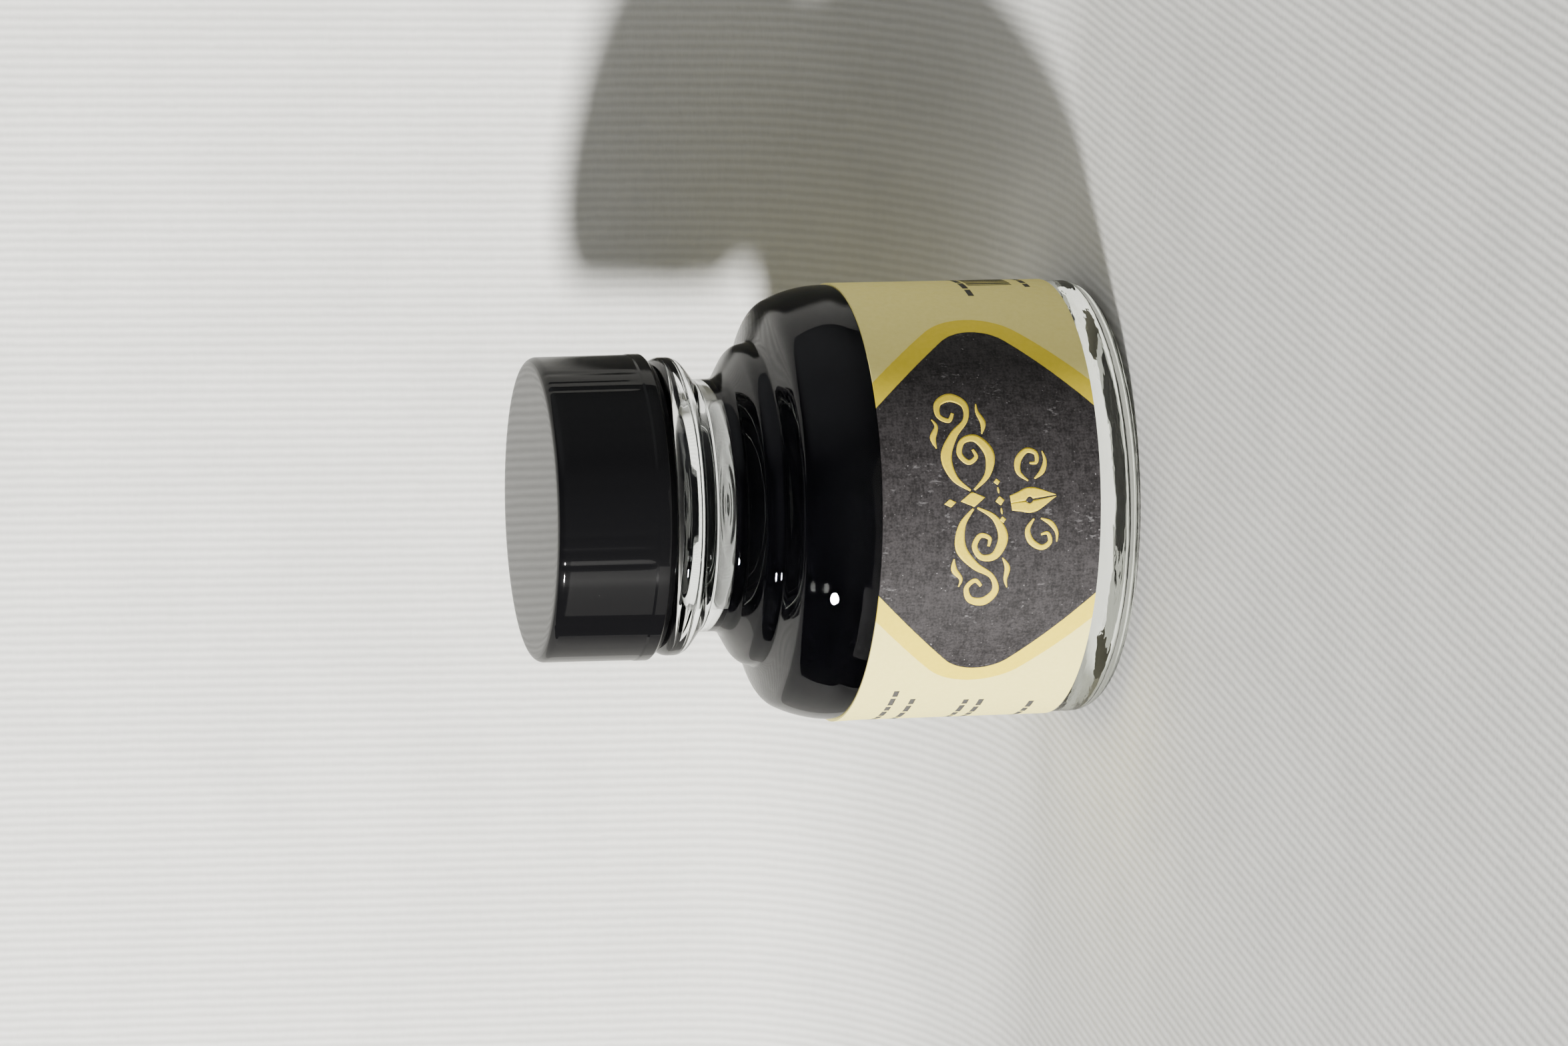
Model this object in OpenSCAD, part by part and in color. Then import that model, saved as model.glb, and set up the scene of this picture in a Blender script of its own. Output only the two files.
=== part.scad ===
// Ink bottle of about 30 ml with a screw cap. Millimetres, +Z up.
// The origin is on the bottle's axis, at the surface it stands on. The label faces -Y.

/* [Body] */
// Outer diameter of the glass body
body_d = 44.4; // [44:0.1:45.2]
// Thickness of the side wall
wall_t = 3.0; // [2.4:0.1:3.4]
// Height of the cavity's floor above the table, where it meets the wall
floor_z = 5.4; // [4:0.1:6]
// Depth of the hollow under the base
push_up = 0.6; // [0.3:0.1:1.2]
// Radius of the rounded heel
heel_r = 2.4; // [1.5:0.1:2.6]

/* [Neck] */
// Outer diameter of the bare neck under the collar
neck_d = 25.72; // [25.6:0.02:26]
// Diameter of the hole through the neck
bore_d = 21.4; // [20.8:0.1:21.6]
// Outer diameter of the round collar under the cap
collar_d = 30.32; // [30.1:0.02:30.5]
// Height of the glass rim
rim_z = 55.55; // [55.3:0.05:55.6]

/* [Thread] */
// Diameter of the glass at the root of its thread
root_d = 25.2; // [25:0.1:25.4]
// Diameter over the glass thread
thread_d = 27.3; // [27.1:0.1:27.4]
// Rise of the thread in one turn (six turns to the inch)
pitch = 4.2333; // [4.2:0.0001:4.26]

/* [Cap] */
// Diameter of the cap at the band round its lower edge
cap_d = 31.14; // [31:0.02:31.4]
// Height of the cap's lower edge
cap_z = 46.0; // [46:0.05:46.2]
// Height of the cap's flat top
top_z = 58.05; // [57.9:0.05:58.5]
// Diameter of the cap's bore, at the root of its thread
cap_bore_d = 28.1; // [28:0.1:28.4]
// Diameter inside the cap's thread
cap_thread_d = 26.0; // [25.9:0.1:26.4]
// Thickness of the liner disc
liner_t = 0.9; // [0.6:0.1:0.9]

/* [Label and ink] */
// Height of the label
label_h = 22.3; // [18:0.1:22.3]
// Height of the label's middle above the table
label_z = 16.05; // [15.8:0.05:16.2]
// Bare strip between the label's two ends, at the back
label_gap = 9; // [4:1:20]
// Angle by which the label was put on crooked
label_skew = 0.7; // [0:0.1:0.9]
// Height of the ink's surface, at the foot of the neck
ink_z = 38.0; // [30:0.1:44]

/* [Hidden] */
$fn = 96;
body_r = body_d / 2;
cavity_r = body_r - wall_t;
neck_r = neck_d / 2;
bore_r = bore_d / 2;
collar_r = collar_d / 2;
root_r = root_d / 2;
cap_r = cap_d / 2;
slip = 0.05;       // gap between pieces that rest on each other
label_r = body_r + 0.04;
label_t = 0.12;
ring_r = 18.6;     // inner edge of the ring that the bottle stands on
collar_top = 45.8;
liner_r = 13.6;
plate_z = rim_z + liner_t + 2 * slip;
band_z = 48.0;     // top of the band round the cap's lower edge
chamfer = 0.75;

// Outlines are lists of corners, each [radius from the axis, height, rounding].
glass_outside = [
    [0, push_up, 0], [9, push_up, 20], [ring_r, 0, 0.5],
    [body_r, 0, heel_r],
    [body_r, 30.46, 13], [body_r - 1.76, 33.99, 2.2],   // shoulder
    [16.53, 35.41, 0.4], [16.24, 36.79, 1.85],          // valley, then small dome
    [neck_r, 38.74, 1.6], [neck_r, 41.5, 0.5],          // bare neck
    [collar_r, 43.26, 1.4], [collar_r, collar_top, 1.35],
    [root_r, collar_top, 0.4], [root_r, rim_z, 0.8]];
cavity = [
    [bore_r, 37.9, 1.8], [cavity_r - 4.8, 36.2, 2],
    [cavity_r - 1.42, 33.26, 2.4], [cavity_r, 30.4, 10],
    [cavity_r, floor_z, 3], [0, floor_z + 0.5, 0]];
cap_outline = [
    [0, top_z, 0], [cap_r - 0.14, top_z, 0.9],
    [cap_r - 0.06, band_z + 0.12, 0.1], [cap_r, band_z - 0.12, 0.1],
    [cap_r, cap_z + chamfer, 0.15], [cap_r - chamfer, cap_z, 0.1],
    [cap_bore_d / 2 + 0.4, cap_z, 0], [cap_bore_d / 2, cap_z + 0.4, 0],
    [cap_bore_d / 2, plate_z, 0.3], [0, plate_z, 0]];

// A thread ridge's half widths, at its root and at its crest.
glass_ridge = [1.15, 0.45];
cap_ridge = [0.85, 0.35];
glass_turns = 1.2;
cap_turns = 1.05;
glass_start_z = 48.2;
cap_start_z = 47.5;
// The cap's ridge runs this far below the glass ridge, so that the two press together.
mesh_drop = 1.55;
// Angle round the axis at which each ridge starts.
glass_start_a = 200;
cap_start_a = glass_start_a + 360 * (cap_start_z + mesh_drop - glass_start_z) / pitch;

// Arc that rounds corner b between its neighbours a and c.
function rounded(a, b, c, steps = 8) =
    let (p = [b[0], b[1]],
         u = unit([a[0], a[1]] - p),
         v = unit([c[0], c[1]] - p),
         half = acos(u * v) / 2,
         centre = p + unit(u + v) * b[2] / sin(half),
         from = p + u * b[2] / tan(half) - centre,
         to = p + v * b[2] / tan(half) - centre)
    [for (i = [0:steps])
        let (t = i / steps, turn = 180 - 2 * half)
        centre + (from * sin((1 - t) * turn) + to * sin(t * turn)) / sin(turn)];
function unit(v) = v / norm(v);
// The outline with every corner that has a rounding replaced by its arc.
function smooth(path) =
    [for (i = [0:len(path) - 1])
        each path[i][2] > 0 ? rounded(path[i - 1], path[i], path[i + 1]) : [[path[i][0], path[i][1]]]];
// The cavity's outline, drawn in by a gap on every side.
function cavity_path(gap) =
    [for (c = cavity)
        [max(c[0] - gap, 0), c[1] + (c[1] < floor_z + 1 ? gap : -gap), c[2]]];

// Helical ridge of trapezoid section, fading into the wall at both ends. It stands out from a
// wall of radius wall to radius crest, so a crest smaller than wall gives an inside thread.
module thread(wall, crest, half, start_z, start_a, turns) {
    step = 10;
    fade = 4;
    count = round(turns * 360 / step);
    side = sign(crest - wall);
    ring = [for (i = [0:count])
        let (a = start_a + i * step,
             z = start_z + pitch * i * step / 360,
             grow = min(1, i / fade, (count - i) / fade),
             tip = wall + side * (-0.1 + (abs(crest - wall) + 0.1) * grow),
             root = wall - side * 0.4,
             width = half * side * (0.4 + 0.6 * grow))
        each [for (c = [[root, -width[0]], [tip, -width[1]], [tip, width[1]], [root, width[0]]])
            [c[0] * cos(a), c[0] * sin(a), z + c[1]]]];
    sides = [for (i = [0:count - 1]) for (k = [0:3])
        each [[4 * i + k, 4 * i + (k + 1) % 4, 4 * i + 4 + (k + 1) % 4],
              [4 * i + k, 4 * i + 4 + (k + 1) % 4, 4 * i + 4 + k]]];
    last = 4 * count;
    polyhedron(ring, concat(sides, [[0, 3, 2], [0, 2, 1]],
        [[last, last + 1, last + 2], [last, last + 2, last + 3]]));
}

module glass_bottle() {
    inside = concat([[bore_r, rim_z, 0.6]], cavity);
    color([0.86, 0.9, 0.9, 0.45]) {
        rotate_extrude() polygon(smooth(concat(glass_outside, inside)));
        thread(root_r, thread_d / 2, glass_ridge, glass_start_z, glass_start_a, glass_turns);
    }
}

module ink_fill() {
    color([0.03, 0.03, 0.05])
        intersection() {
            rotate_extrude()
                polygon(smooth(concat([[0, rim_z, 0], [bore_r - slip, rim_z, 0]], cavity_path(slip))));
            cylinder(h = ink_z, r = body_r);
        }
}

// A paper sleeve, cut by two level planes that are both tipped by the same small angle.
module wrap_label() {
    gap_a = asin(label_gap / 2 / label_r);
    far = 2 * body_r;
    color([0.87, 0.83, 0.72])
        difference() {
            intersection() {
                cylinder(h = rim_z, r = label_r + label_t);
                translate([0, 0, label_z]) rotate([label_skew, label_skew, 0])
                    cube([2 * far, 2 * far, label_h], center = true);
            }
            cylinder(h = rim_z, r = label_r);
            linear_extrude(rim_z)
                polygon([[0, 0], [far * sin(gap_a), far * cos(gap_a)],
                    [-far * sin(gap_a), far * cos(gap_a)]]);
        }
}

module cap_liner() {
    color([0.93, 0.92, 0.88]) translate([0, 0, rim_z + slip]) cylinder(h = liner_t, r = liner_r);
}

module screw_cap() {
    color([0.05, 0.05, 0.06]) {
        rotate_extrude() polygon(smooth(cap_outline));
        thread(cap_bore_d / 2, cap_thread_d / 2, cap_ridge, cap_start_z, cap_start_a, cap_turns);
    }
}

glass_bottle();
ink_fill();
wrap_label();
cap_liner();
screw_cap();
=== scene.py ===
"""Looks of a 30 ml ink bottle with a screw cap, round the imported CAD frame.

The glass, ink, label, liner and cap are lathe meshes made in code. Lengths are in millimetres
until a mesh is made, and Blender's units are metres. The label faces -Y.
"""

import math
import random

import bpy
from mathutils import Matrix, Vector, noise


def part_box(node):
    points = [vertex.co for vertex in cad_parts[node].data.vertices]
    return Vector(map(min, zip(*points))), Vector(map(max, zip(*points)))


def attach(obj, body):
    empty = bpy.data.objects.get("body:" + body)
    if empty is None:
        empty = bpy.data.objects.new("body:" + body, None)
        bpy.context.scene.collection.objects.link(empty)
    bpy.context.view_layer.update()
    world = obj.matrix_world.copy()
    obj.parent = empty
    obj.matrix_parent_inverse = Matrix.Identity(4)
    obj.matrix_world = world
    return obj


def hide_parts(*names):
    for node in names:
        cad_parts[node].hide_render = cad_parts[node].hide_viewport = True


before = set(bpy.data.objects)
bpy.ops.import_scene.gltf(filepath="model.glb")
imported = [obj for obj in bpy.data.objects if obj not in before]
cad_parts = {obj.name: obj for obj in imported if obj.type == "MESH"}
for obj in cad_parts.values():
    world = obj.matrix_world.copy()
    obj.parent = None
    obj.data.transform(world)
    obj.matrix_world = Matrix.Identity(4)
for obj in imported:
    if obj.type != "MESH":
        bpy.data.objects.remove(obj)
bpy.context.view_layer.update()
MM = 0.001
SEGMENTS = 288            # facets round the axis
CAP_SEGMENTS = 576        # enough for the flow marks in the cap's side
LINER_SEGMENTS = 192
random.seed(7)


def reach(node):
    """Largest radius, lowest and highest point of a CAD node, in mm."""
    low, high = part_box(node)
    return round(high.x / MM, 2), round(low.z / MM, 2), round(high.z / MM, 2)


BODY_R, _, RIM_Z = reach("glass_bottle")
CAP_R, CAP_Z, TOP_Z = reach("screw_cap")
LINER_R, LINER_Z, LINER_TOP = reach("cap_liner")
INK_Z = reach("ink_fill")[2]
BORE_R, NECK_R, ROOT_R = 10.7, 12.86, 12.6
COLLAR_R, COLLAR_Z = 15.16, 45.8    # the collar under the cap, and its top
RIM_ROUND = 0.6           # rounding of the rim's inner edge
CAP_BORE_R, PLATE_Z = 14.05, LINER_TOP + 0.05
CAP_STEP_Z = 48.0         # fine step round the cap's side, above its plain lower band
CAVITY_R, FLOOR_Z = 19.2, 5.4       # the cavity's wall, and its floor where it meets the wall

# Corners of the outlines: (radius, height, rounding). Material lies to the left of the way.
GLASS_OUTSIDE = [
    (0, 0.6, 0), (9, 0.6, 20), (18.6, 0, 0.5), (BODY_R, 0, 2.4), (BODY_R, 30.46, 13),
    (20.44, 33.99, 2.2), (16.53, 35.41, 0.4), (16.24, 36.79, 1.85), (NECK_R, 38.74, 1.6),
    (NECK_R, 41.5, 0.5), (COLLAR_R, 43.26, 1.4), (COLLAR_R, COLLAR_Z, 1.35),
    (ROOT_R, COLLAR_Z, 0.4), (ROOT_R, RIM_Z, 0.8), (BORE_R, RIM_Z, RIM_ROUND)]
CAVITY = [
    (BORE_R, RIM_Z, RIM_ROUND), (BORE_R, 37.9, 1.8), (14.4, 36.2, 2), (17.78, 33.26, 2.4),
    (CAVITY_R, 30.4, 10), (CAVITY_R, FLOOR_Z, 3), (0, FLOOR_Z + 0.5, 0)]
CAP = [
    (0, PLATE_Z, 0), (CAP_BORE_R, PLATE_Z, 0.3), (CAP_BORE_R, CAP_Z + 0.4, 0.1),
    (CAP_BORE_R + 0.4, CAP_Z, 0.1), (CAP_R - 0.75, CAP_Z, 0.1), (CAP_R, CAP_Z + 0.75, 0.15),
    (CAP_R, CAP_STEP_Z - 0.12, 0.1), (CAP_R - 0.06, CAP_STEP_Z + 0.12, 0.1),
    (CAP_R - 0.14, TOP_Z, 0.9), (0, TOP_Z, 0)]
LINER = [
    (0, LINER_Z, 0), (LINER_R, LINER_Z, 0.12), (LINER_R, LINER_TOP, 0.12), (0, LINER_TOP, 0)]
GLASS_THREAD = dict(height=1.05, half=(1.15, 0.45), start_z=48.2, start_a=200.0, turns=1.2)
CAP_THREAD = dict(height=1.05, half=(0.85, 0.35), start_z=47.5, start_a=272.3, turns=1.05)
PITCH = 4.2333            # rise of the thread in one turn
COARSE, FINE = 0.8, 0.16  # longest stretch of an outline, and the same along a thread


# ---------------------------------------------------------------- outlines and lathe meshes
def smoothstep(x):
    x = min(max(x, 0.0), 1.0)
    return x * x * (3 - 2 * x)


def round_corner(a, b, c):
    """Points on the arc that rounds corner b between its neighbours a and c."""
    corner, radius = Vector(b[:2]), b[2]
    u = (Vector(a[:2]) - corner).normalized()
    v = (Vector(c[:2]) - corner).normalized()
    half = math.acos(max(-1.0, min(1.0, u.dot(v)))) / 2
    centre = corner + (u + v).normalized() * radius / math.sin(half)
    start = corner + u * radius / math.tan(half) - centre
    end = corner + v * radius / math.tan(half) - centre
    turn = math.pi - 2 * half
    steps = max(4, min(math.ceil(turn / 0.07), math.ceil(radius * turn / 0.12)))
    return [centre + (start * math.sin((1 - k / steps) * turn) + end * math.sin(k / steps * turn))
            / math.sin(turn) for k in range(steps + 1)]


def outline(corners, step):
    """Rounded outline, with no stretch longer than step(radius, height)."""
    line = []
    for i, corner in enumerate(corners):
        bend = 0 < i < len(corners) - 1 and corner[2] > 0
        line += (round_corner(corners[i - 1], corner, corners[i + 1]) if bend
                 else [Vector(corner[:2])])
    fine = line[:1]
    for a, b in zip(line, line[1:]):
        parts = max(1, math.ceil((b - a).length / step(*((a + b) / 2))))
        fine += [a.lerp(b, (k + 1) / parts) for k in range(parts)]
    return fine


def mesh_object(name, verts, faces):
    """Object with smooth shading from points in mm."""
    mesh = bpy.data.meshes.new(name)
    mesh.from_pydata([Vector(v) * MM for v in verts], [], faces)
    mesh.polygons.foreach_set("use_smooth", [True] * len(mesh.polygons))
    mesh.update()
    made = bpy.data.objects.new(name, mesh)
    bpy.context.scene.collection.objects.link(made)
    return made


def revolve(name, parts, segments=SEGMENTS):
    """Closed mesh of revolution. Each part is (outline, relief): relief(point, angle) moves the
    surface outwards, away from the material. The first and last points are on the axis."""
    verts, rings = [], []
    for line, relief in parts:
        for i, point in enumerate(line):
            way = (line[min(i + 1, len(line) - 1)] - line[max(i - 1, 0)]).normalized()
            out = Vector((way.y, -way.x))
            if point.x < 1e-6:
                rings.append(len(verts))
                verts.append((0, 0, point.y + out.y * relief(point, 0.0)))
                continue
            rings.append((len(verts), segments))
            for k in range(segments):
                a = math.tau * k / segments
                p = point + out * relief(point, a)
                verts.append((p.x * math.cos(a), p.x * math.sin(a), p.y))
    faces = []
    for low, high in zip(rings, rings[1:]):
        for k in range(segments):
            n = (k + 1) % segments
            if isinstance(low, int):
                faces.append((low, high[0] + n, high[0] + k))
            elif isinstance(high, int):
                faces.append((low[0] + k, low[0] + n, high))
            else:
                faces.append((low[0] + k, low[0] + n, high[0] + n, high[0] + k))
    return mesh_object(name, verts, faces)


def ripple(point, angle, size, seed=0.0):
    """Smooth noise from -1 to 1 on a surface of revolution, with features of that size in mm."""
    at = Vector((point.x * math.cos(angle), point.x * math.sin(angle), point.y)) / size
    return noise.noise(at + Vector((seed, -seed, 0.5 * seed)))


def ridge(z, angle, height, half, start_z, start_a, turns):
    """Height of a helical thread ridge over its wall, fading at both ends."""
    best = 0.0
    first = math.degrees(angle) - start_a
    first -= 360 * math.floor(first / 360)
    for along in (first, first + 360):
        if along > 360 * turns:
            break
        off = abs(z - start_z - PITCH * along / 360)
        fade = smoothstep(min(along, 360 * turns - along) / 40)
        best = max(best, height * fade * smoothstep((half[0] - off) / (half[0] - half[1])))
    return best


# ---------------------------------------------------------------- glass, ink, cap and liner
STANDING_Z = 0.8          # the glass below this is not wavy


def glass_outer(point, angle):
    """Waviness of pressed glass, and the thread. What the bottle stands on stays flat."""
    if point.y <= STANDING_Z:
        return 0.0
    lift = 0.018 * ripple(point, angle, 9)
    if point.y > COLLAR_Z + 0.5 and point.x < NECK_R + 0.34:
        lift += ridge(point.y, angle, **GLASS_THREAD)
    return lift


def glass_inner(point, angle):
    """The inside of blown glass is uneven, most of all at its heel."""
    low = smoothstep((10.0 - point.y) / 4.0)
    return ((0.03 + 0.14 * low) * ripple(point, angle, 4.5, 3.0)
            + 0.07 * low * ripple(point, angle, 1.6, 9.0))


def glass_step(r, z):
    """Longest stretch of the outside's outline at a radius and height."""
    return FINE if COLLAR_Z + 0.4 < z < RIM_Z - 0.55 and r < NECK_R + 0.14 else COARSE


# Both outlines round the rim's inner edge, so the cavity starts below it.
cavity_line = outline(CAVITY, lambda r, z: COARSE)[1:]
below_rim = next(i for i, p in enumerate(cavity_line) if p.y < RIM_Z - RIM_ROUND - 0.01)
glass = revolve("glass_body", [(outline(GLASS_OUTSIDE, glass_step), glass_outer),
                               (cavity_line[below_rim:], glass_inner)])

INK_OVERLAP, INK_GAP = 0.03, 0.04   # into the glass at the wall, and off it at the floor
MENISCUS, MENISCUS_WIDTH = 1.4, 2.2
INK_RINGS = 60


def ink_outer(point, angle):
    """Ink against the wall leaves no air between. The floor and its corner are seen at a flat
    angle, where the glass mirrors against ink as it does against air, and the gap gives that
    mirror. The label hides where the gap ends, 3 to 4 mm above the floor."""
    wet = smoothstep(point.y - FLOOR_Z - 3.0)
    return (INK_OVERLAP + INK_GAP) * wet - INK_GAP - glass_inner(point, angle)


ink_wall = [p for p in reversed(cavity_line) if p.y <= INK_Z + MENISCUS]
ink_edge = ink_wall[-1].x


def ink_level(r):
    """Height of the ink's surface, which climbs the glass and has faint rings in its middle."""
    wave = 0.05 * math.cos(1.7 * r) * max(0.0, 1 - (r / 10) ** 2)
    return INK_Z + MENISCUS * math.exp((r - ink_edge) / MENISCUS_WIDTH) + wave


ink_radii = [ink_edge * k / INK_RINGS for k in range(INK_RINGS - 1, -1, -1)]
ink_top = [Vector((r, ink_level(r))) for r in ink_radii]
ink = revolve("ink_liquid", [(ink_wall, ink_outer), (ink_top, lambda point, angle: 0.0)])

# Upright flow marks in the cap's moulded side: degrees from -Y, width in degrees, depth in mm.
FLOW_MARKS = [(-49.5, 1.1, 0.030), (-21.5, 1.3, 0.045), (-16.0, 1.2, 0.055), (-10.5, 1.1, 0.050),
              (9.0, 2.0, 0.012), (27.0, 1.6, 0.016), (33.0, 1.2, 0.022), (50.0, 1.0, 0.045),
              (54.0, 0.9, 0.030), (61.0, 1.4, 0.050)]
MARKS_Z = CAP_STEP_Z + 0.3          # they end just above the step


def cap_outer(point, angle):
    """Upright flow marks in the side, and the thread inside."""
    if point.x > CAP_R - 1.2 and point.y > MARKS_Z:
        turn = (math.degrees(angle) + 90 + 180) % 360 - 180
        marks = sum(deep * math.exp(-((turn - at) / wide) ** 2) for at, wide, deep in FLOW_MARKS)
        way = Vector((math.cos(angle), math.sin(angle), 0.0))
        fade = smoothstep((TOP_Z - 0.12 - point.y) / 0.5) * smoothstep((point.y - MARKS_Z) / 0.4)
        return (0.004 * noise.noise(way * 14) - marks) * fade
    if point.x < CAP_BORE_R + 0.05 and CAP_Z + 0.4 < point.y < PLATE_Z - 1:
        return ridge(point.y, angle, **CAP_THREAD)
    return 0.0


CAP_THREAD_END = 54.0     # the cap's bore is plain above this


def cap_step(r, z):
    """Longest stretch of the cap's outline at a radius and height."""
    return FINE if r < CAP_BORE_R + 0.15 and z < CAP_THREAD_END else 0.9


cap = revolve("cap_shell", [(outline(CAP, cap_step), cap_outer)], CAP_SEGMENTS)


def liner_relief(point, angle):
    """The glass rim has pressed a shallow ring into the liner's lower face."""
    if point.y > LINER_Z + 0.2:
        return 0.0
    ring = (smoothstep((point.x - BORE_R + 0.8) / 0.6)
            * smoothstep((ROOT_R - 0.2 - point.x) / 0.6))
    return -0.06 * ring + 0.008 * ripple(point, angle, 2.0)


liner_line = outline(LINER, lambda r, z: 0.25)
liner = revolve("liner_disc", [(liner_line, liner_relief)], LINER_SEGMENTS)

# ---------------------------------------------------------------- label
PAPER = 0.12              # thickness of the paper
LABEL_R = BODY_R + 0.04 + PAPER
LABEL_INNER_R = BODY_R - 0.05       # the paste leaves no air between paper and glass
LABEL_H, LABEL_Z, SKEW = 22.3, 16.05, math.tan(math.radians(0.7))
LABEL_GAP = 9.0           # bare strip between the label's two ends, at the back
GAP_HALF = math.asin(LABEL_GAP / 2 / (LABEL_R - PAPER))


def label_middle(turn):
    """Height of the label's middle line at an angle from -Y. The label is on crooked."""
    return LABEL_Z - SKEW * LABEL_R * (math.sin(turn) + math.cos(turn))


def on_label(s, z, r):
    """Point at arc length s from the middle of the front, positive to the right."""
    turn = s / LABEL_R
    return (r * math.sin(turn), -r * math.cos(turn), z)


def label_mesh():
    """The wrapped label, and the numbers of its faces that lie against the glass."""
    columns, rows = 720, 40
    verts, faces, backs = [], [], set()
    loop = 2 * (rows + 1)
    for i in range(columns + 1):
        turn = (2 * i / columns - 1) * (math.pi - GAP_HALF)
        middle = label_middle(turn)
        # The left edge's upper corner stands a little off the glass.
        proud = 0.10 * math.exp(-((math.degrees(turn) + 90) / 7) ** 2)
        for k in range(rows + 1):
            v = k / rows - 0.5
            lift = (proud * smoothstep((v - 0.38) / 0.12)
                    + 0.006 * noise.noise(Vector((turn * 9, v * 7, 0))))
            verts.append(on_label(turn * LABEL_R, middle + v * LABEL_H, LABEL_R + lift))
        for k in range(rows, -1, -1):
            z = middle + (k / rows - 0.5) * LABEL_H
            verts.append(on_label(turn * LABEL_R, z, LABEL_INNER_R))
    for i in range(columns):
        for k in range(loop):
            n = (k + 1) % loop
            if k > rows:
                backs.add(len(faces))
            faces.append((i * loop + k, (i + 1) * loop + k, (i + 1) * loop + n, i * loop + n))
    faces += [tuple(range(loop)), tuple(reversed(range(columns * loop, (columns + 1) * loop)))]
    made = mesh_object("label_paper", verts, faces)
    made.data.set_sharp_from_angle(angle=math.radians(50))
    return made, backs


label, label_backs = label_mesh()

# ---------------------------------------------------------------- print on the label
PRINT_TOP, PRINT_LOW = LABEL_R + 0.014, LABEL_R - 0.02
CELL = 0.35               # widest column of a print's mesh
STROKE_STEPS = 10         # rows of a pen stroke from one of its points to the next


class Print:
    """Collects raised closed shapes that follow the label, for one mesh of each ink."""

    def __init__(self):
        self.verts, self.faces = [], []

    def band(self, rails):
        """Fills the space between two lines given as pairs of (s, z) points."""
        widest = max((Vector(a) - Vector(b)).length for a, b in rails)
        columns = 3 + int(widest / CELL)
        first, loop = len(self.verts), columns + 2
        for a, b in rails:
            self.verts.append(on_label(*a, PRINT_LOW))
            for k in range(columns):
                s, z = Vector(a).lerp(Vector(b), k / (columns - 1))
                self.verts.append(on_label(s, z, PRINT_TOP))
            self.verts.append(on_label(*b, PRINT_LOW))
        for i in range(len(rails) - 1):
            for k in range(loop):
                n = (k + 1) % loop
                self.faces.append(tuple(first + j for j in (
                    i * loop + k, i * loop + n, (i + 1) * loop + n, (i + 1) * loop + k)))
        last = first + (len(rails) - 1) * loop
        self.faces.append(tuple(reversed(range(first, first + loop))))
        self.faces.append(tuple(range(last, last + loop)))

    def stroke(self, points, widths, place):
        """Pen stroke of changing width along a smooth curve through points."""
        times = [k / STROKE_STEPS for k in range((len(points) - 1) * STROKE_STEPS + 1)]
        line = [catmull(points, t) for t in times]
        wide = [catmull([(w, 0) for w in widths], t)[0] for t in times]
        rails = []
        for i, p in enumerate(line):
            way = (line[min(i + 1, len(line) - 1)] - line[max(i - 1, 0)]).normalized()
            side = Vector((-way.y, way.x)) * max(wide[i], 0.03) / 2
            rails.append((place(p + side), place(p - side)))
        self.band(rails)

    def make(self, name):
        return mesh_object(name, self.verts, self.faces)


def catmull(points, t):
    """Point at t on the Catmull-Rom curve through points, one unit of t from each to the next."""
    i = min(int(t), len(points) - 2)
    u = t - i
    a, b, c, d = (Vector(points[min(max(j, 0), len(points) - 1)]) for j in range(i - 1, i + 3))
    return 0.5 * (2 * b + (c - a) * u + (2 * a - 5 * b + 4 * c - d) * u * u
                  + (3 * b - 3 * c + d - a) * u ** 3)


TILT = math.radians(8)    # the ornament rises to the right
LARGE_AT, ROW_AT, SMALL_AT = (-0.15, 17.75), (-0.35, 15.0), (-0.3, 11.6)


def placer(at, flip=1):
    """Function that takes a point of the tilted drawing at (s, z) to the label. A flip of -1
    mirrors the drawing."""
    c, n = math.cos(TILT), math.sin(TILT)

    def place(p):
        x, y = p[0] * flip, p[1]
        return (at[0] + c * x - n * y, at[1] + n * x + c * y)
    return place


# One half of the large ornament: (points, widths) of each pen stroke.
SCROLLS = [
    ([(0.9, 0.1), (2.4, 1.5), (4.6, 1.9), (6.6, 0.7), (8.0, -0.9), (9.6, -1.2), (10.6, 0.0),
      (10.2, 1.4), (8.9, 1.7), (8.2, 0.8), (8.9, 0.2)],
     [0.2, 0.7, 1.1, 0.8, 0.5, 0.7, 0.9, 0.7, 0.5, 0.45, 0.3]),
    ([(0.9, -0.3), (2.2, -1.9), (4.2, -2.5), (5.9, -1.5), (5.9, -0.1), (4.7, 0.5), (3.7, -0.2),
      (4.1, -1.1), (4.9, -0.9)],
     [0.2, 0.6, 1.0, 0.8, 0.6, 0.55, 0.5, 0.4, 0.25]),
    ([(6.3, -2.2), (7.4, -2.6), (8.6, -2.3), (9.5, -2.4)], [0.1, 0.55, 0.35, 0.1]),
    ([(5.6, 2.7), (6.7, 2.8), (7.8, 2.2), (8.6, 2.5)], [0.1, 0.6, 0.35, 0.1]),
]
SMALL_SCROLLS = [
    ([(1.9, 0.2), (2.9, 1.0), (4.1, 0.8), (4.9, -0.2), (4.5, -1.1), (3.6, -1.0), (3.6, -0.3)],
     [0.15, 0.5, 0.65, 0.55, 0.45, 0.35, 0.2]),
    ([(2.0, -0.5), (2.6, -1.4), (3.6, -1.9), (4.6, -1.8)], [0.15, 0.5, 0.35, 0.1]),
]


def diamond(ink_print, place, x, y, half_w, half_h):
    """Rhombus with its tips cut a little blunt."""
    rails = [((x + half_w * k / 3, y + half_h * (1 - abs(k) / 3) + 0.02),
              (x + half_w * k / 3, y - half_h * (1 - abs(k) / 3) - 0.02)) for k in range(-3, 4)]
    ink_print.band([(place(a), place(b)) for a, b in rails])


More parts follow.
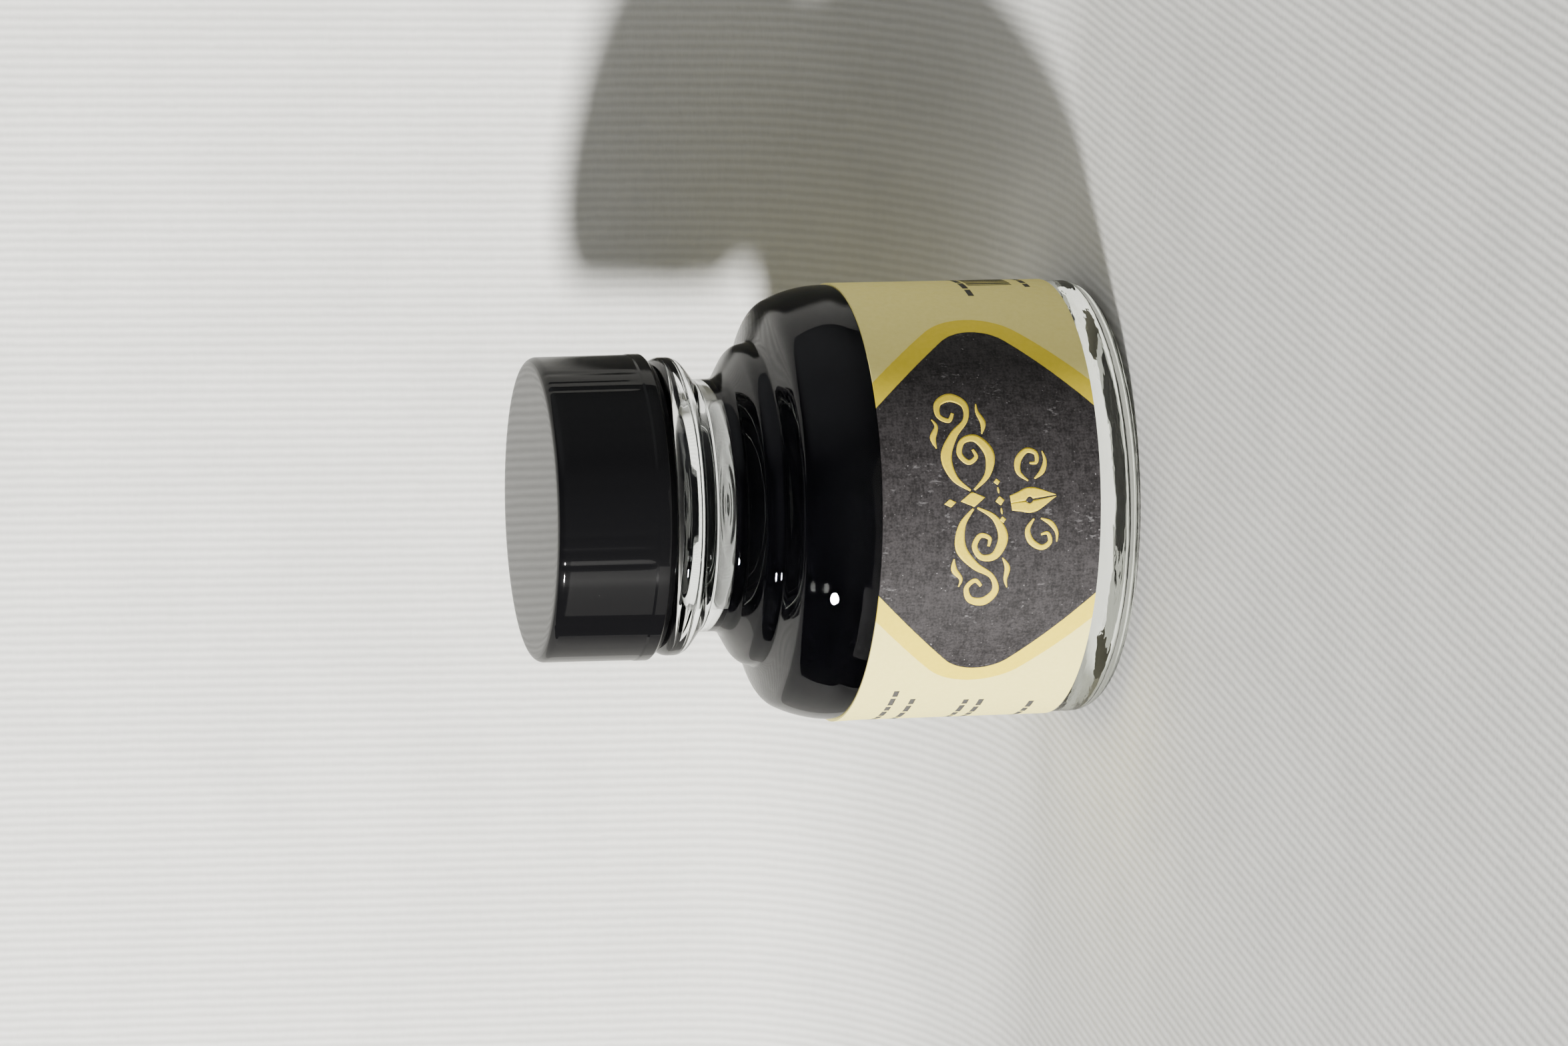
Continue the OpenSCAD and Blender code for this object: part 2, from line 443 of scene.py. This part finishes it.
def nib(ink_print, place):
    """Pen nib with its point down, in two halves with the slit between them."""
    edge = [(2.3, 0.75), (1.4, 1.0), (0.6, 1.25), (-0.2, 1.2), (-1.0, 0.85), (-1.8, 0.4),
            (-2.4, 0.1)]
    for flip in (-1, 1):
        rails = []
        for k in range(25):
            y, half = catmull(edge, k / 4)
            hole = math.sqrt(max(0.0, 0.34 ** 2 - (y - 0.35) ** 2))
            slit = max(hole, 0.07 if y < 0.35 else 0.0)
            rails.append((place((flip * half, y)), place((flip * min(slit, half - 0.02), y))))
        ink_print.band(rails)


def ornament():
    """Scrolls round a diamond, a row of dots, and below them a nib between smaller scrolls."""
    gold = Print()
    for flip in (-1, 1):
        for points, widths in SCROLLS:
            gold.stroke(points, widths, placer(LARGE_AT, flip))
        for points, widths in SMALL_SCROLLS:
            gold.stroke(points, widths, placer(SMALL_AT, flip))
    centre = placer(LARGE_AT)
    diamond(gold, centre, 0, 0, 0.75, 1.25)
    diamond(gold, centre, 0, 2.35, 0.4, 0.6)
    row = placer(ROW_AT)
    for x, half in ((-1.9, 0.32), (0, 0.45), (1.9, 0.32)):
        diamond(gold, row, x, 0, half, half)
    for x in (-1.35, 0.75):
        gold.stroke([(x, 0), (x + 0.3, 0), (x + 0.6, 0)], [0.1, 0.2, 0.1], row)
    nib(gold, placer(SMALL_AT))
    return gold.make("label_gilding")


DEGREE = LABEL_R * math.radians(1)  # arc length of one degree round the label
WORD, SPACE = (1.1, 2.6), 0.45      # shortest and longest dash, and the space between two
LEFT_START = -114                   # degrees from -Y, as are the ends of the lines
LEFT_LINES = [(-59, 23.2), (-64, 21.1), (-65.5, 15.4), (-64, 13.8), (-66.7, 8.3)]
BARS, BAR_WIDTHS = 22, (0.24, 0.42, 0.2, 0.3)
BAR_TOP, BAR_LOW = 13.3, 8.7


def fine_print():
    """Plain dashes in lines where a label has its small print, and a row of plain bars."""
    grey = Print()

    def line(s, last, z, tall):
        while s < last - 0.4:
            end = min(s + random.uniform(*WORD), last)
            middle = z + label_middle(s / LABEL_R) - LABEL_Z
            parts = max(2, int((end - s) / 0.3) + 1)
            grey.band([((s + (end - s) * k / parts, middle + tall / 2),
                        (s + (end - s) * k / parts, middle - tall / 2))
                       for k in range(parts + 1)])
            s = end + SPACE

    for end, z in LEFT_LINES:
        line(LEFT_START * DEGREE, end * DEGREE, z, 0.55)
    line(66 * DEGREE, 112 * DEGREE, 14.2, 0.6)
    line(72.5 * DEGREE, 104 * DEGREE, 7.6, 0.55)
    for k in range(BARS):
        s = (75 + 1.35 * k) * DEGREE
        wide = BAR_WIDTHS[k % len(BAR_WIDTHS)]
        grey.band([((s, BAR_TOP), (s + wide, BAR_TOP)), ((s, BAR_LOW), (s + wide, BAR_LOW))])
    return grey.make("label_small_print")


gilding, small_print = ornament(), fine_print()


# ---------------------------------------------------------------- materials
class Material:
    """Node material with one Principled shader, and short ways to feed it. Noise is in mm."""

    def __init__(self, name, **constants):
        self.data = bpy.data.materials.new(name)
        self.data.use_nodes = True
        self.nodes, self.links = self.data.node_tree.nodes, self.data.node_tree.links
        self.shader = self.nodes["Principled BSDF"]
        for socket, value in constants.items():
            self.shader.inputs[socket.replace("_", " ")].default_value = value
        coords = self.nodes.new("ShaderNodeTexCoord").outputs["Object"]
        self.place = self.add("ShaderNodeVectorMath", (coords, None, None, 1 / MM),
                              operation="SCALE")

    def add(self, kind, inputs=(), **settings):
        """Adds a node, sets it up and gives its first output."""
        node = self.nodes.new(kind)
        for key, value in settings.items():
            setattr(node, key, value)
        pairs = inputs.items() if isinstance(inputs, dict) else enumerate(inputs)
        for key, value in pairs:
            if value is None:
                continue
            if isinstance(value, bpy.types.NodeSocket):
                self.links.new(value, node.inputs[key])
            else:
                node.inputs[key].default_value = value
        return node.outputs[0]

    def math(self, operation, *values):
        return self.add("ShaderNodeMath", values, operation=operation)

    def noise(self, size, detail=3, stretch=(1, 1, 1)):
        at = self.add("ShaderNodeMapping", (self.place, None, None, stretch))
        return self.add("ShaderNodeTexNoise", {"Vector": at, "Scale": 1 / size, "Detail": detail})

    def ramp(self, value, low, high, to_low=0.0, to_high=1.0):
        """Value from low..high taken smoothly to to_low..to_high."""
        return self.add("ShaderNodeMapRange", (value, low, high, to_low, to_high),
                        interpolation_type="SMOOTHSTEP")

    def height(self):
        """Height above the table, in mm."""
        return self.split()[2]

    def split(self):
        """The three coordinates of a point, in mm."""
        node = self.nodes.new("ShaderNodeSeparateXYZ")
        self.links.new(self.place, node.inputs[0])
        return node.outputs

    def mix(self, share, a, b):
        """Colour between a and b."""
        node = self.nodes.new("ShaderNodeMix")
        node.data_type = "RGBA"
        for socket, value in ((node.inputs[0], share), (node.inputs[6], a), (node.inputs[7], b)):
            if isinstance(value, bpy.types.NodeSocket):
                self.links.new(value, socket)
            else:
                socket.default_value = (*value, 1) if isinstance(value, tuple) else value
        return node.outputs[2]

    def feed(self, socket, value):
        self.links.new(value, self.shader.inputs[socket])

    def bump(self, height, depth, strength):
        """Bump from a height of 0 to 1, depth mm deep."""
        bump = self.nodes.new("ShaderNodeBump")
        bump.inputs["Strength"].default_value = strength
        bump.inputs["Distance"].default_value = depth * MM
        self.links.new(height, bump.inputs["Height"])
        self.links.new(bump.outputs[0], self.shader.inputs["Normal"])


BASE_ENDS = (3.6, 7.0)    # heights between which the look of the thick base fades out


def glass_material():
    """Clear glass, tinted in its thick base. The tint of its specular reflection halves what
    faces the viewer, because the display shows dim reflections too bright."""
    m = Material("clear_glass_look", Transmission_Weight=1.0, IOR=1.52,
                 Specular_Tint=(0.5, 0.5, 0.52, 1))
    clear = m.mix(m.noise(14), (0.955, 0.98, 0.97), (0.985, 0.995, 0.99))
    thick = m.mix(m.noise(3, 4), (0.66, 0.70, 0.64), (0.86, 0.89, 0.84))
    m.feed("Base Color", m.mix(m.ramp(m.height(), *BASE_ENDS), thick, clear))
    m.feed("Roughness", m.ramp(m.noise(6, 4), 0.45, 0.75, 0.0, 0.02))
    # The mould's base plate leaves the lowest part more uneven than the rest.
    low = m.math("MULTIPLY", m.noise(1.8, 3, (0.35, 0.35, 1)),
                 m.ramp(m.height(), *BASE_ENDS, 9.0, 0.0))
    m.bump(m.math("ADD", m.noise(5, 2), low), 0.01, 0.35)
    return m.data


def ink_material(name, specular):
    """Black ink. Against the glass its specular level is low, because the glass reflects."""
    m = Material(name, IOR=1.34, Specular_IOR_Level=specular)
    m.feed("Base Color", m.mix(m.noise(3), (0.0012, 0.0012, 0.0018), (0.003, 0.0028, 0.004)))
    m.feed("Roughness", m.ramp(m.noise(7), 0.3, 0.7, 0.02, 0.06))
    m.bump(m.noise(6, 1), 0.005, 0.2)
    return m.data


def cap_top_material():
    m = Material("black_plastic_top_look", IOR=1.5, Specular_IOR_Level=0.5)
    m.feed("Base Color", m.mix(m.ramp(m.noise(0.35, 2), 0.78, 0.84), (0.004, 0.004, 0.0045),
                               (0.02, 0.02, 0.02)))
    m.feed("Roughness", m.ramp(m.noise(4, 3), 0.3, 0.7, 0.03, 0.06))
    m.bump(m.noise(3, 2), 0.004, 0.2)
    return m.data


def cap_side_material():
    """Clear gloss over upright streaks that spread the lights' glints downwards."""
    m = Material("black_plastic_look", IOR=1.5, Specular_IOR_Level=0.015, Anisotropic=0.92,
                 Anisotropic_Rotation=0.25, Coat_Weight=0.75, Coat_Roughness=0.05, Coat_IOR=1.45)
    m.feed("Tangent", m.add("ShaderNodeTangent", direction_type="RADIAL", axis="Z"))
    m.feed("Base Color", m.mix(m.ramp(m.noise(0.35, 2), 0.76, 0.82), (0.0035, 0.0035, 0.004),
                               (0.02, 0.02, 0.02)))
    m.feed("Roughness", m.ramp(m.noise(1.2, 4, (1, 1, 0.02)), 0.35, 0.65, 0.34, 0.46))
    m.bump(m.noise(0.9, 3, (1, 1, 0.02)), 0.03, 0.5)
    return m.data


def liner_material():
    m = Material("liner_board_look", IOR=1.45, Specular_IOR_Level=0.4)
    fibre = m.noise(0.4, 5, (1, 3, 1))
    m.feed("Base Color", m.mix(fibre, (0.68, 0.66, 0.58), (0.86, 0.85, 0.80)))
    m.feed("Roughness", m.ramp(m.noise(1.2), 0.3, 0.7, 0.25, 0.45))
    m.bump(fibre, 0.03, 0.4)
    return m.data


def gold_material():
    m = Material("gold_print_look", IOR=1.5, Specular_IOR_Level=0.3)
    m.feed("Base Color", m.mix(m.noise(0.25, 4), (0.60, 0.44, 0.015), (0.82, 0.64, 0.04)))
    m.feed("Roughness", m.ramp(m.noise(0.5), 0.3, 0.7, 0.42, 0.6))
    m.bump(m.noise(0.15, 3), 0.006, 0.5)
    return m.data


def small_print_material():
    m = Material("small_print_look", IOR=1.5, Specular_IOR_Level=0.2)
    m.feed("Base Color", m.mix(m.noise(0.2, 3), (0.03, 0.03, 0.03), (0.10, 0.095, 0.085)))
    m.feed("Roughness", m.ramp(m.noise(0.4), 0.3, 0.7, 0.5, 0.7))
    m.bump(m.noise(0.15, 3), 0.004, 0.4)
    return m.data


# The panel is a rhombus whose sides run in by PANEL_SLOPE mm for each mm up or down, grown by
# SLATE_ROUND so that its two side corners are round. The border is the same rhombus, grown more.
PANEL_HALF, PANEL_SLOPE = 14.43, 1.02
PANEL_AT, PANEL_LEAN = 0.33, -0.0135    # its place to the right of -Y, and its lean
SLATE_ROUND, BORDER_ROUND, BLUR = 4.63, 6.63, 0.03


def paper_material():
    """Cream paper, printed with a slate panel in a yellow border."""
    m = Material("label_paper_look", IOR=1.45, Specular_IOR_Level=0.25)
    x, y, z = m.split()
    turn = m.math("ARCTAN2", x, m.math("MULTIPLY", y, -1.0))
    lift = m.math("MULTIPLY", m.math("SUBTRACT", x, y), SKEW)
    up = m.math("SUBTRACT", z, LABEL_Z)
    t = m.math("ABSOLUTE", m.math("ADD", up, lift))
    s = m.math("ADD", m.math("MULTIPLY_ADD", turn, LABEL_R, PANEL_AT),
               m.math("MULTIPLY", up, PANEL_LEAN))
    # Signed distance to the rhombus: out from its side, and along that side from its corner.
    long = math.hypot(1, PANEL_SLOPE)
    across = m.math("SUBTRACT", m.math("ABSOLUTE", s), PANEL_HALF)
    out = m.math("DIVIDE", m.math("ADD", across, m.math("MULTIPLY", t, PANEL_SLOPE)), long)
    side = m.math("DIVIDE", m.math("SUBTRACT", t, m.math("MULTIPLY", across, PANEL_SLOPE)), long)
    past_out, past_side = m.math("MAXIMUM", out, 0.0), m.math("MINIMUM", side, 0.0)
    reach_sq = m.math("ADD", m.math("MULTIPLY", past_out, past_out),
                      m.math("MULTIPLY", past_side, past_side))
    distance = m.math("ADD", m.math("SQRT", reach_sq), m.math("MINIMUM", out, 0.0))
    edge = m.math("MULTIPLY_ADD", m.noise(0.5, 3), 0.06, distance)
    on_slate = m.ramp(edge, SLATE_ROUND - BLUR, SLATE_ROUND + BLUR, 1.0, 0.0)
    on_band = m.ramp(edge, BORDER_ROUND - BLUR, BORDER_ROUND + BLUR, 1.0, 0.0)

    cream = m.mix(m.noise(0.5, 5), (0.78, 0.69, 0.215), (0.88, 0.785, 0.275))
    band = m.mix(m.noise(0.5, 5), (0.70, 0.54, 0.025), (0.82, 0.64, 0.04))
    # Slate: fine grain with fibres both ways, pale specks, and a few scuffs.
    grain = m.math("ADD", m.math("MULTIPLY", m.noise(1.6, 3), 0.22),
                   m.math("MULTIPLY", m.noise(0.2, 4), 0.34))
    for stretch in ((1, 1, 0.3), (0.3, 0.3, 1)):
        grain = m.math("ADD", grain, m.math("MULTIPLY", m.noise(0.26, 3, stretch), 0.22))
    slate = m.mix(m.ramp(grain, 0.38, 0.62), (0.013, 0.0117, 0.0121), (0.044, 0.040, 0.0418))
    slate = m.mix(m.ramp(m.noise(0.2, 1), 0.76, 0.82), slate, (0.36, 0.35, 0.36))
    scuffed = m.math("MULTIPLY", m.ramp(m.noise(2.6, 2), 0.56, 0.68),
                     m.ramp(m.noise(0.3, 5, (1, 1, 0.45)), 0.56, 0.66))
    slate = m.mix(m.math("MULTIPLY", scuffed, 0.3), slate, (0.30, 0.29, 0.30))
    colour = m.mix(on_slate, m.mix(on_band, cream, band), slate)
    m.feed("Base Color", colour)
    m.feed("Roughness", m.ramp(m.noise(0.8), 0.3, 0.7, 0.5, 0.68))
    m.bump(m.math("ADD", m.noise(0.3, 4), m.noise(1.5, 2)), 0.012, 0.5)
    return m.data


def paper_back_material():
    """The paper's pasted side, seen through the glass."""
    m = Material("label_back_look", IOR=1.45, Specular_IOR_Level=0.1)
    m.feed("Base Color", m.mix(m.noise(0.6, 5), (0.50, 0.47, 0.36), (0.66, 0.63, 0.50)))
    m.feed("Roughness", m.ramp(m.noise(0.8), 0.3, 0.7, 0.6, 0.8))
    m.bump(m.noise(0.4, 4), 0.01, 0.4)
    return m.data


def cloth_material(name, pale):
    """Canvas with fine ribs, transparent from behind, with painted light: the part that rises is
    painted paler than the part that lies flat.
    """
    m = Material(name, Roughness=0.9, Specular_IOR_Level=0.1)
    ribs = m.add("ShaderNodeRGBToBW", (m.add("ShaderNodeTexWave", {
        "Vector": m.place, "Scale": 0.30, "Distortion": 0.9, "Detail": 2.0, "Detail Scale": 1.5},
        bands_direction="X", wave_profile="SIN"),))
    cross = m.noise(0.62, 2, (0.35, 1, 1))
    weave = m.math("ADD", m.math("MULTIPLY", ribs, 0.6), m.math("MULTIPLY", cross, 0.5))
    # painted light: the cloth is painted paler with height as it rises, on top of its ribs and
    # random tone
    shade = m.math("MULTIPLY", m.ramp(m.height(), 3.0, 30.0, 0.93 * pale, 1.22 * pale),
                   m.ramp(weave, 0.2, 0.9, 0.905, 1.05))
    shade = m.math("MULTIPLY", shade, m.ramp(m.noise(12, 4), 0.3, 0.7, 0.97, 1.03))
    m.feed("Base Color", m.add("ShaderNodeCombineColor", (
        shade, shade, m.math("MULTIPLY", shade, 0.968))))
    m.bump(weave, 0.14, 0.55)
    m.data.use_backface_culling = True      # for the viewport
    blend = m.add("ShaderNodeMixShader", (
        m.nodes.new("ShaderNodeNewGeometry").outputs["Backfacing"], m.shader.outputs[0],
        m.nodes.new("ShaderNodeBsdfTransparent").outputs[0]))
    m.links.new(blend, m.nodes["Material Output"].inputs["Surface"])
    return m.data


def dress(piece, *materials, second=lambda face: False):
    """Gives the piece its materials. The second one goes on the faces that second picks."""
    for material in materials:
        piece.data.materials.append(material)
    for face in piece.data.polygons:
        face.material_index = int(second(face))


ink_top_from = (len(ink_wall) - 1) * SEGMENTS     # the faces of the ink's wall come first
dress(glass, glass_material())
dress(ink, ink_material("ink_wall_look", 0.02), ink_material("ink_top_look", 0.3),
      second=lambda face: face.index >= ink_top_from)
dress(cap, cap_side_material(), cap_top_material(),
      second=lambda face: face.center.z > (TOP_Z - 0.1) * MM)
dress(liner, liner_material())
dress(label, paper_material(), paper_back_material(),
      second=lambda face: face.index in label_backs)
dress(gilding, gold_material())
dress(small_print, small_print_material())

PIECES = [
    (glass, "bottle", "glass_bottle", "clear_glass"),
    (ink, "bottle", "ink_fill", "black_ink"),
    (label, "bottle", "wrap_label", "label_paper"),
    (gilding, "bottle", None, "label_paper"),
    (small_print, "bottle", None, "label_paper"),
    (liner, "liner", "cap_liner", "liner_board"),
    (cap, "cap", "screw_cap", "black_plastic"),
]
for piece, body, node, slot in PIECES:
    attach(piece, body)
    if node:
        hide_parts(node)

# ---------------------------------------------------------------- floor, backdrop and lights
# The backdrop is one cloth: it lies in front of the bottle and rises close behind it, turned a
# little to the left. Its back can be seen through, so that it hides nothing in views from
# behind. Only the camera and what it sees through glass get the cloth itself. The rest get
# twins of it, a little lower and further back:
# - reflections get darker ones, because the display flattens highlights, of the size that a
#   tabletop backdrop has, with a wall and two sectors of floor on the left; this is painted
#   reflection, darker copies of one cloth standing in for dimmer reflections
# - bounced light gets one as large as the cloth; this is painted shade, a darker copy that lets
#   less light bounce into the shadows
# What is seen through glass also gets a glowing strip, just above the cloth and close round the
# base.
CLOTH_TURN = math.radians(18)
BEND_AT, BEND_R, LEAN = 8.5, 33.5, math.radians(3)
BEND_STEPS, RISE = 32, 420.0
NEAR_LEFT, NEAR_RIGHT, NEAR_FRONT, FAR = -72.0, 90.0, -170.0, 700.0
WALL_LEFT = -600.0
CLOTH_DROP, BEHIND_DROP, MIRROR_DROP, BOUNCE_DROP, GLOW_DROP = 0.05, 0.1, 0.3, 0.5, 0.02
SECTOR_NEAR, SECTOR_FAR, SECTOR_STEPS = 70.0, 420.0, 12
GLOW_LEFT, GLOW_RIGHT, GLOW_FRONT = -45.0, 80.0, -26.0
GLOW_POINTS = 20          # points of the outline, up to just past the middle of the bend
RAYS = ("camera", "diffuse", "glossy", "transmission", "shadow")


def cloth_line(front):
    """Outline of the cloth from its front edge to its top."""
    line = [(front, 0.0), (BEND_AT, 0.0)]
    for k in range(1, BEND_STEPS + 1):
        turn = (math.pi / 2 - LEAN) * k / BEND_STEPS
        line.append((BEND_AT + BEND_R * math.sin(turn), BEND_R * (1 - math.cos(turn))))
    line.append((line[-1][0] + RISE * math.tan(LEAN), line[-1][1] + RISE))
    return line


def stage_piece(name, verts, faces, material, seen_by, turn=0.0):
    """Part of the stage that only the named kinds of ray see."""
    piece = mesh_object(name, verts, faces)
    piece.rotation_euler = (0, 0, turn)
    piece.data.materials.append(material)
    for ray in RAYS:
        setattr(piece, "visible_" + ray, ray in seen_by)


def cloth_piece(name, left, right, line, material, drop, seen_by):
    """Strip of cloth between left and right, drop mm behind its outline and below it."""
    verts = [(x, y + drop, z - drop) for y, z in line for x in (left, right)]
    faces = [(2 * i, 2 * i + 1, 2 * i + 3, 2 * i + 2) for i in range(len(line) - 1)]
    stage_piece(name, verts, faces, material, seen_by, -CLOTH_TURN)


def floor_sector(name, start, end, material):
    """Mirrored part of the floor between two azimuths, in degrees to the left of -Y."""
    turns = [math.radians(start + (end - start) * k / SECTOR_STEPS)
             for k in range(SECTOR_STEPS + 1)]
    verts = [(-math.sin(a) * r, -math.cos(a) * r, -MIRROR_DROP)
             for a in turns for r in (SECTOR_NEAR, SECTOR_FAR)]
    faces = [(2 * i, 2 * i + 2, 2 * i + 3, 2 * i + 1) for i in range(SECTOR_STEPS)]
    stage_piece(name, verts, faces, material, ("glossy",))


def glow_material():
    """Light that the thick base gathers on the cloth, which the renderer doesn't trace."""
    m = Material("base_glow_look", Roughness=0.9, Emission_Strength=1.0)
    m.feed("Base Color", m.mix(m.noise(2), (0.4, 0.4, 0.39), (0.5, 0.5, 0.48)))
    m.feed("Emission Color", m.mix(m.noise(7, 3), (0.22, 0.22, 0.20), (0.78, 0.77, 0.70)))
    return m.data


canvas = cloth_material("canvas_look", 0.55)
for name, left, right, line, drop in (
        ("cloth", -FAR, FAR, cloth_line(-2 * FAR), CLOTH_DROP),
        ("floor_behind", -2 * FAR, 2 * FAR, [(BEND_AT, 0), (2 * FAR, 0)], BEHIND_DROP)):
    cloth_piece(name, left, right, line, canvas, drop, ("camera", "transmission", "shadow"))

# painted reflection: darker copies of the cloth that only reflections see
cloth_piece("cloth_mirrored", NEAR_LEFT, NEAR_RIGHT, cloth_line(NEAR_FRONT),
            cloth_material("mirrored_canvas_look", 0.25), MIRROR_DROP, ("glossy",))
cloth_piece("mirrored_wall", WALL_LEFT, NEAR_LEFT, cloth_line(BEND_AT)[1:],
            cloth_material("mirrored_wall_look", 0.14), MIRROR_DROP, ("glossy",))
lit_side = cloth_material("mirrored_side_look", 0.23)
floor_sector("mirrored_floor", 44, 86, lit_side)
floor_sector("mirrored_floor_left", 109, 125, lit_side)
# painted shade: a darker copy of the cloth that only bounced light sees
cloth_piece("cloth_bounce", -FAR, FAR, cloth_line(-2 * FAR),
            cloth_material("bounce_canvas_look", 0.40), BOUNCE_DROP, ("diffuse",))
cloth_piece("glow_round_base", GLOW_LEFT, GLOW_RIGHT, cloth_line(GLOW_FRONT)[:GLOW_POINTS],
            glow_material(), GLOW_DROP, ("transmission",))

AIM_Z = 30.0              # height that the lamps aim at


def from_bottle(azimuth, elevation, distance):
    """Point in metres seen from the bottle's middle: azimuth is to the left of -Y, in degrees."""
    a, e = math.radians(azimuth), math.radians(elevation)
    return Vector((-math.sin(a) * math.cos(e) * distance, -math.cos(a) * math.cos(e) * distance,
                   math.sin(e) * distance + AIM_Z)) * MM


def lamp(name, azimuth, elevation, distance, width, power, tint):
    """Round soft light aimed at the bottle, sizes in mm and power in watts."""
    data = bpy.data.lights.new(name, "AREA")
    data.shape, data.size, data.energy, data.color = "DISK", width * MM, power, tint
    made = bpy.data.objects.new(name, data)
    made.location = from_bottle(azimuth, elevation, distance)
    aim = from_bottle(0, 0, 0) - made.location
    made.rotation_euler = aim.to_track_quat("-Z", "Y").to_euler()
    bpy.context.scene.collection.objects.link(made)
    return made


lamp("key", azimuth=54, elevation=18, distance=1300, width=150, power=64.0, tint=(1.0, 0.985, 0.95))
overhead = lamp("overhead", azimuth=0, elevation=78, distance=900, width=700, power=0.8,
                tint=(0.97, 0.985, 1.0))
overhead.visible_glossy = False

ROOM_LEVEL = 0.02
# Where each glow comes from, its strength, and about the cosine to its middle where it starts.
ROOM_GLOWS = [((0.90, -0.27, 0.34), 0.46, 0.62), ((0.0, -1.0, -0.25), 0.16, 0.5)]


def dim_room():
    """Dark room with a faint glow from its right-hand side and from low in front."""
    room = bpy.data.worlds.new("dim_room")
    room.use_nodes = True
    nodes, links = room.node_tree.nodes, room.node_tree.links
    way = nodes.new("ShaderNodeTexCoord").outputs["Generated"]
    total = nodes.new("ShaderNodeValue").outputs[0]
    total.default_value = ROOM_LEVEL
    for towards, strength, start in ROOM_GLOWS:
        near = nodes.new("ShaderNodeVectorMath")
        near.operation = "DOT_PRODUCT"
        near.inputs[1].default_value = towards
        links.new(way, near.inputs[0])
        spread = nodes.new("ShaderNodeMapRange")
        spread.interpolation_type = "SMOOTHSTEP"
        links.new(near.outputs["Value"], spread.inputs[0])
        for k, value in enumerate((start, 1.0, 0.0, strength), 1):
            spread.inputs[k].default_value = value
        added = nodes.new("ShaderNodeMath")
        links.new(spread.outputs[0], added.inputs[0])
        links.new(total, added.inputs[1])
        total = added.outputs[0]
    links.new(total, nodes["Background"].inputs["Strength"])
    nodes["Background"].inputs["Color"].default_value = (0.95, 0.97, 1.0, 1)
    return room


bpy.context.scene.world = dim_room()

# ---------------------------------------------------------------- camera
# The picture lies on its side: the bottle's top points to the picture's left.
CAMERA_AT = (0.0, -573.559, 163.740)
LENS, SENSOR = 132.46, 36.0
FORWARD = Vector((-0.0034554, 0.9745546, -0.2241236))
UP = Vector((0.02771131, 0.22413218, 0.97416469))
camera = bpy.data.objects.new("camera", bpy.data.cameras.new("camera"))
camera.data.lens, camera.data.sensor_width = LENS, SENSOR
camera.data.clip_start, camera.data.clip_end = 0.01, 20.0
right = FORWARD.cross(UP).normalized()
axes = Matrix((-UP, right, -FORWARD)).transposed()
camera.matrix_world = Matrix.Translation(Vector(CAMERA_AT) * MM) @ axes.to_4x4()
bpy.context.scene.collection.objects.link(camera)
bpy.context.scene.camera = camera

bpy.context.view_layer.update()
